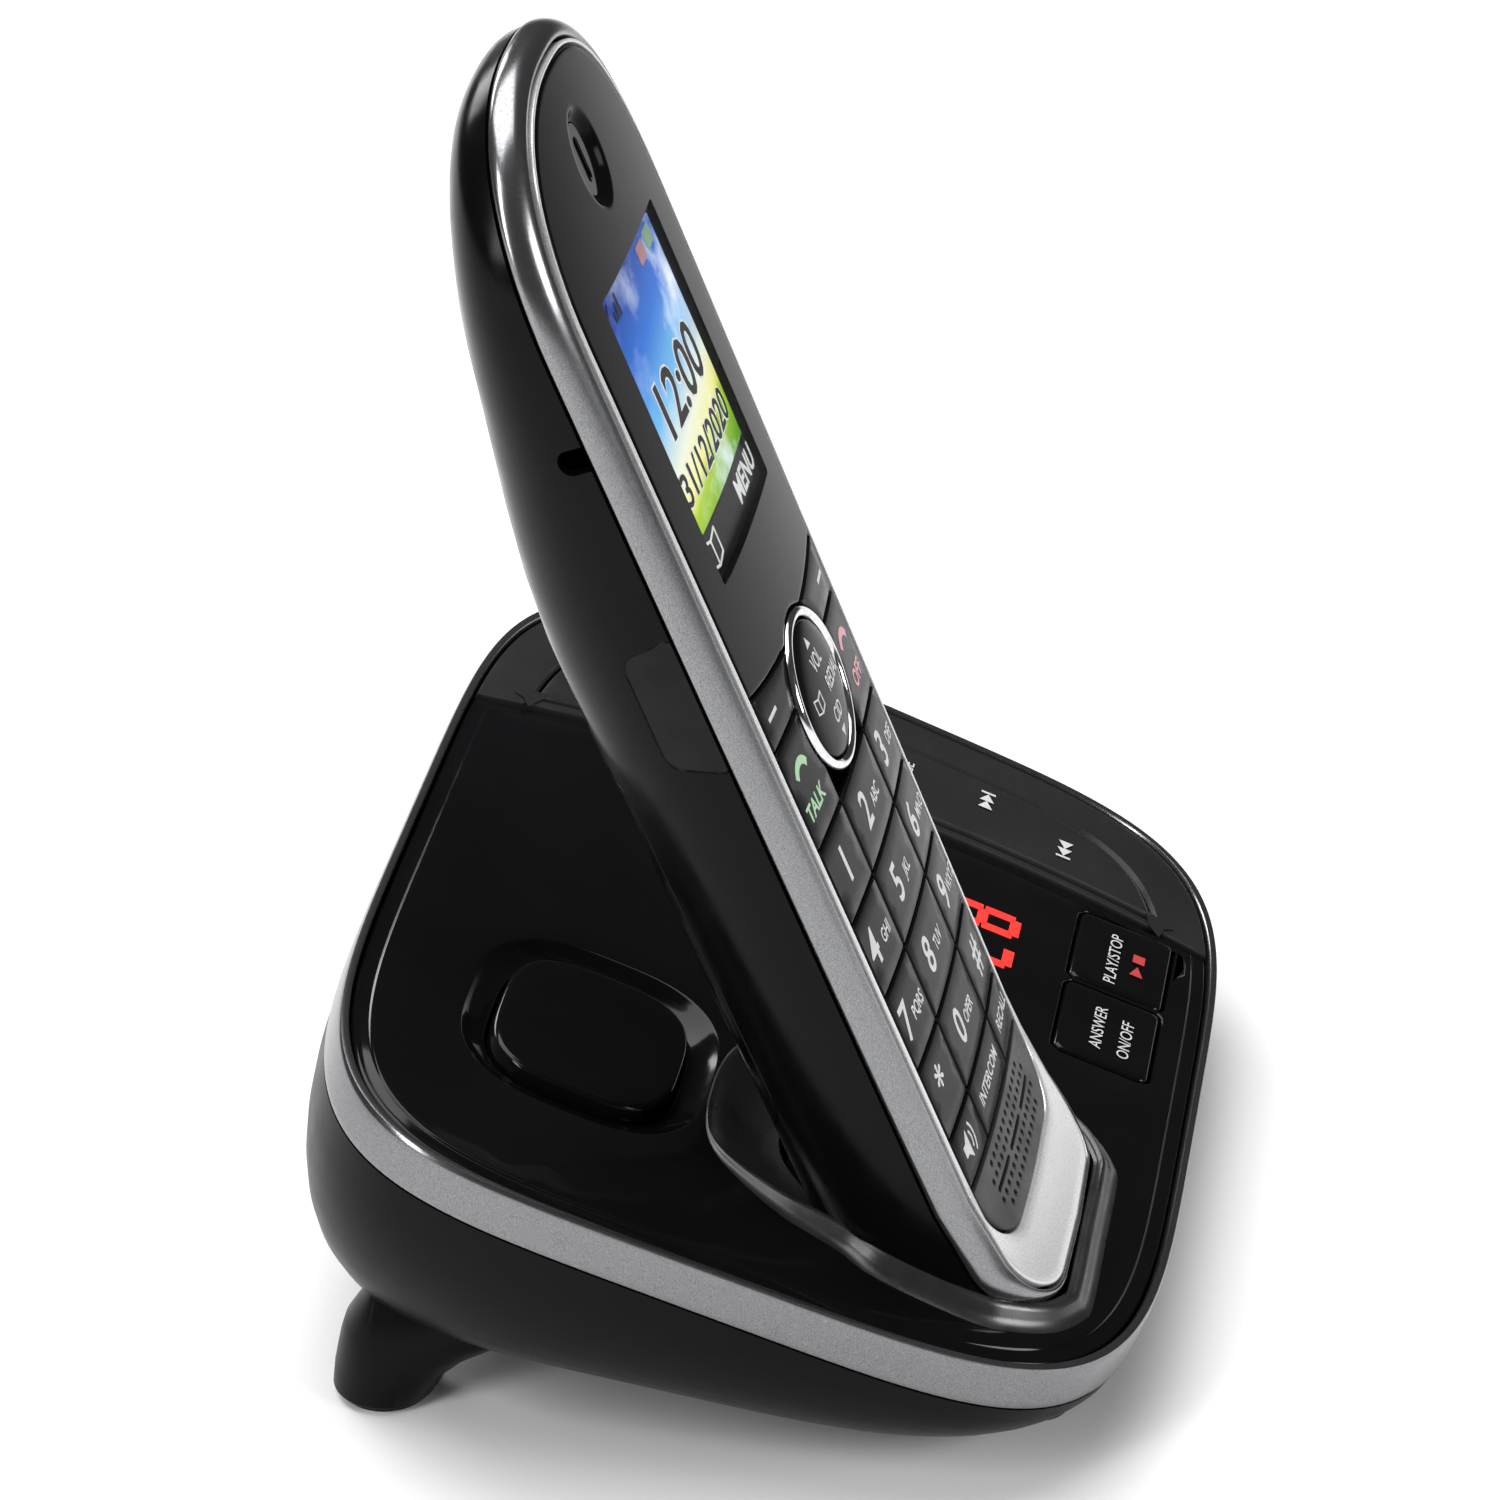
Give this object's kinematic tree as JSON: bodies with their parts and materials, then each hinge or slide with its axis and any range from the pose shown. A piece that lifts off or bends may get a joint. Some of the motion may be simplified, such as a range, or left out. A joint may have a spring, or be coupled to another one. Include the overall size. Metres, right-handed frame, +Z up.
{
  "type": "cordless phone with base",
  "caption": "Cordless handset with colour screen and keypad, standing in the charging pocket of a tilted answering-machine base.",
  "frame": {"origin": "under the middle of the bounding box, on the table", "axes": "+X to the user's right, +Y away from the user towards the back of the base, +Z up"},
  "size_m": [0.134, 0.103, 0.1645],
  "materials": {
    "gloss_black": "polished",
    "satin_black": "satin, fine moulded grain",
    "key_black": "lacquered, slightly domed",
    "panel_grey": "satin",
    "satin_silver": "satin metallic lacquer",
    "bright_silver": "bright metallic lacquer",
    "rubber_black": "matte",
    "board_green": "solder mask",
    "contact_metal": "plated",
    "steel": "zinc plated",
    "cell_wrap": "shrink wrap",
    "screen": "lit colour display",
    "speaker_cone": "matte",
    "red_window": "smoked, tinted red"
  },
  "bodies": {
    "base": {"base_top_panel": "gloss_black", "counter_window": "red_window", "base_trim_ring": "satin_silver", "base_lower_housing": "satin_black", "rear_foot_pad_left": "rubber_black", "rear_foot_pad_right": "rubber_black", "front_foot_left": "rubber_black", "front_foot_right": "rubber_black", "base_pcb": "board_green", "counter_display": "red_window", "base_speaker": "speaker_cone", "dc_jack": "satin_black", "line_jack": "satin_black", "base_screw_1": "steel", "base_screw_2": "steel", "base_contact_left": "contact_metal", "base_contact_right": "contact_metal"},
    "handset": {"handset_front_frame": "satin_silver", "handset_face_trim": "bright_silver", "handset_lens": "gloss_black", "handset_mic_panel": "panel_grey", "nav_ring": "bright_silver", "keypad_mat": "rubber_black", "handset_pcb": "board_green", "display_module": "screen", "earpiece_speaker": "speaker_cone", "microphone": "steel", "ringer_speaker": "speaker_cone", "battery_cell_1": "cell_wrap", "battery_cell_2": "cell_wrap", "handset_back_shell": "gloss_black", "handset_contact_left": "contact_metal", "handset_contact_right": "contact_metal", "headset_socket": "satin_black"},
    "softkey_left_body": {"softkey_left": "key_black"},
    "softkey_right_body": {"softkey_right": "key_black"},
    "talk_key_body": {"talk_key": "key_black"},
    "off_key_body": {"off_key": "key_black"},
    "nav_button_body": {"nav_button": "key_black"},
    "key_1_body": {"key_1": "key_black"},
    "key_2_body": {"key_2": "key_black"},
    "key_3_body": {"key_3": "key_black"},
    "key_4_body": {"key_4": "key_black"},
    "key_5_body": {"key_5": "key_black"},
    "key_6_body": {"key_6": "key_black"},
    "key_7_body": {"key_7": "key_black"},
    "key_8_body": {"key_8": "key_black"},
    "key_9_body": {"key_9": "key_black"},
    "key_star_body": {"key_star": "key_black"},
    "key_0_body": {"key_0": "key_black"},
    "key_hash_body": {"key_hash": "key_black"},
    "speakerphone_key_body": {"speakerphone_key": "key_black"},
    "intercom_key_body": {"intercom_key": "key_black"},
    "recall_key_body": {"recall_key": "key_black"},
    "battery_cover_body": {"battery_cover": "gloss_black"},
    "headset_jack_cover_body": {"headset_jack_cover": "rubber_black"},
    "locator_button_body": {"locator_button": "gloss_black"},
    "function_strip_body": {"function_strip": "panel_grey"},
    "play_stop_button_body": {"play_stop_button": "satin_black"},
    "answer_button_body": {"answer_button": "satin_black"}
  },
  "joints": [
    {"name": "handset_lift", "type": "slide", "parent": "base", "child": "handset", "axis": [0, 0.3746, 0.9272], "range_m": [0, 0.06]},
    {"name": "softkey_left_press", "type": "slide", "parent": "handset", "child": "softkey_left_body", "axis": [0, 0.9272, -0.3746], "range_m": [0, 0.0004], "stiffness_N_per_m": 1500},
    {"name": "softkey_right_press", "type": "slide", "parent": "handset", "child": "softkey_right_body", "axis": [0, 0.9272, -0.3746], "range_m": [0, 0.0004], "stiffness_N_per_m": 1500},
    {"name": "talk_key_press", "type": "slide", "parent": "handset", "child": "talk_key_body", "axis": [0, 0.9272, -0.3746], "range_m": [0, 0.0004], "stiffness_N_per_m": 1500},
    {"name": "off_key_press", "type": "slide", "parent": "handset", "child": "off_key_body", "axis": [0, 0.9272, -0.3746], "range_m": [0, 0.0004], "stiffness_N_per_m": 1500},
    {"name": "nav_button_press", "type": "slide", "parent": "handset", "child": "nav_button_body", "axis": [0, 0.9272, -0.3746], "range_m": [0, 0.0004], "stiffness_N_per_m": 1500},
    {"name": "key_1_press", "type": "slide", "parent": "handset", "child": "key_1_body", "axis": [0, 0.9272, -0.3746], "range_m": [0, 0.0004], "stiffness_N_per_m": 1500},
    {"name": "key_2_press", "type": "slide", "parent": "handset", "child": "key_2_body", "axis": [0, 0.9272, -0.3746], "range_m": [0, 0.0004], "stiffness_N_per_m": 1500},
    {"name": "key_3_press", "type": "slide", "parent": "handset", "child": "key_3_body", "axis": [0, 0.9272, -0.3746], "range_m": [0, 0.0004], "stiffness_N_per_m": 1500},
    {"name": "key_4_press", "type": "slide", "parent": "handset", "child": "key_4_body", "axis": [0, 0.9272, -0.3746], "range_m": [0, 0.0004], "stiffness_N_per_m": 1500},
    {"name": "key_5_press", "type": "slide", "parent": "handset", "child": "key_5_body", "axis": [0, 0.9272, -0.3746], "range_m": [0, 0.0004], "stiffness_N_per_m": 1500},
    {"name": "key_6_press", "type": "slide", "parent": "handset", "child": "key_6_body", "axis": [0, 0.9272, -0.3746], "range_m": [0, 0.0004], "stiffness_N_per_m": 1500},
    {"name": "key_7_press", "type": "slide", "parent": "handset", "child": "key_7_body", "axis": [0, 0.9272, -0.3746], "range_m": [0, 0.0004], "stiffness_N_per_m": 1500},
    {"name": "key_8_press", "type": "slide", "parent": "handset", "child": "key_8_body", "axis": [0, 0.9272, -0.3746], "range_m": [0, 0.0004], "stiffness_N_per_m": 1500},
    {"name": "key_9_press", "type": "slide", "parent": "handset", "child": "key_9_body", "axis": [0, 0.9272, -0.3746], "range_m": [0, 0.0004], "stiffness_N_per_m": 1500},
    {"name": "key_star_press", "type": "slide", "parent": "handset", "child": "key_star_body", "axis": [0, 0.9272, -0.3746], "range_m": [0, 0.0004], "stiffness_N_per_m": 1500},
    {"name": "key_0_press", "type": "slide", "parent": "handset", "child": "key_0_body", "axis": [0, 0.9272, -0.3746], "range_m": [0, 0.0004], "stiffness_N_per_m": 1500},
    {"name": "key_hash_press", "type": "slide", "parent": "handset", "child": "key_hash_body", "axis": [0, 0.9272, -0.3746], "range_m": [0, 0.0004], "stiffness_N_per_m": 1500},
    {"name": "speakerphone_key_press", "type": "slide", "parent": "handset", "child": "speakerphone_key_body", "axis": [0, 0.9272, -0.3746], "range_m": [0, 0.0004], "stiffness_N_per_m": 1500},
    {"name": "intercom_key_press", "type": "slide", "parent": "handset", "child": "intercom_key_body", "axis": [0, 0.9272, -0.3746], "range_m": [0, 0.0004], "stiffness_N_per_m": 1500},
    {"name": "recall_key_press", "type": "slide", "parent": "handset", "child": "recall_key_body", "axis": [0, 0.9272, -0.3746], "range_m": [0, 0.0004], "stiffness_N_per_m": 1500},
    {"name": "battery_cover_off", "type": "slide", "parent": "handset", "child": "battery_cover_body", "axis": [0, 0.9272, -0.3746], "range_m": [0, 0.008]},
    {"name": "jack_cover_open", "type": "hinge", "parent": "handset", "child": "headset_jack_cover_body", "pos_m": [-0.0553, 0.00015, 0.09005], "axis": [0, -0.9272, 0.3746], "range_deg": [0, 90], "stiffness_Nm_per_rad": 0.002},
    {"name": "locator_button_press", "type": "slide", "parent": "base", "child": "locator_button_body", "axis": [0, 0.342, -0.9397], "range_m": [0, 0.0012], "stiffness_N_per_m": 1500},
    {"name": "function_strip_press", "type": "slide", "parent": "base", "child": "function_strip_body", "axis": [0, 0.342, -0.9397], "range_m": [0, 0.0008], "stiffness_N_per_m": 2500},
    {"name": "play_stop_button_press", "type": "slide", "parent": "base", "child": "play_stop_button_body", "axis": [0, 0.342, -0.9397], "range_m": [0, 0.0008], "stiffness_N_per_m": 2000},
    {"name": "answer_button_press", "type": "slide", "parent": "base", "child": "answer_button_body", "axis": [0, 0.342, -0.9397], "range_m": [0, 0.0008], "stiffness_N_per_m": 2000}
  ]
}
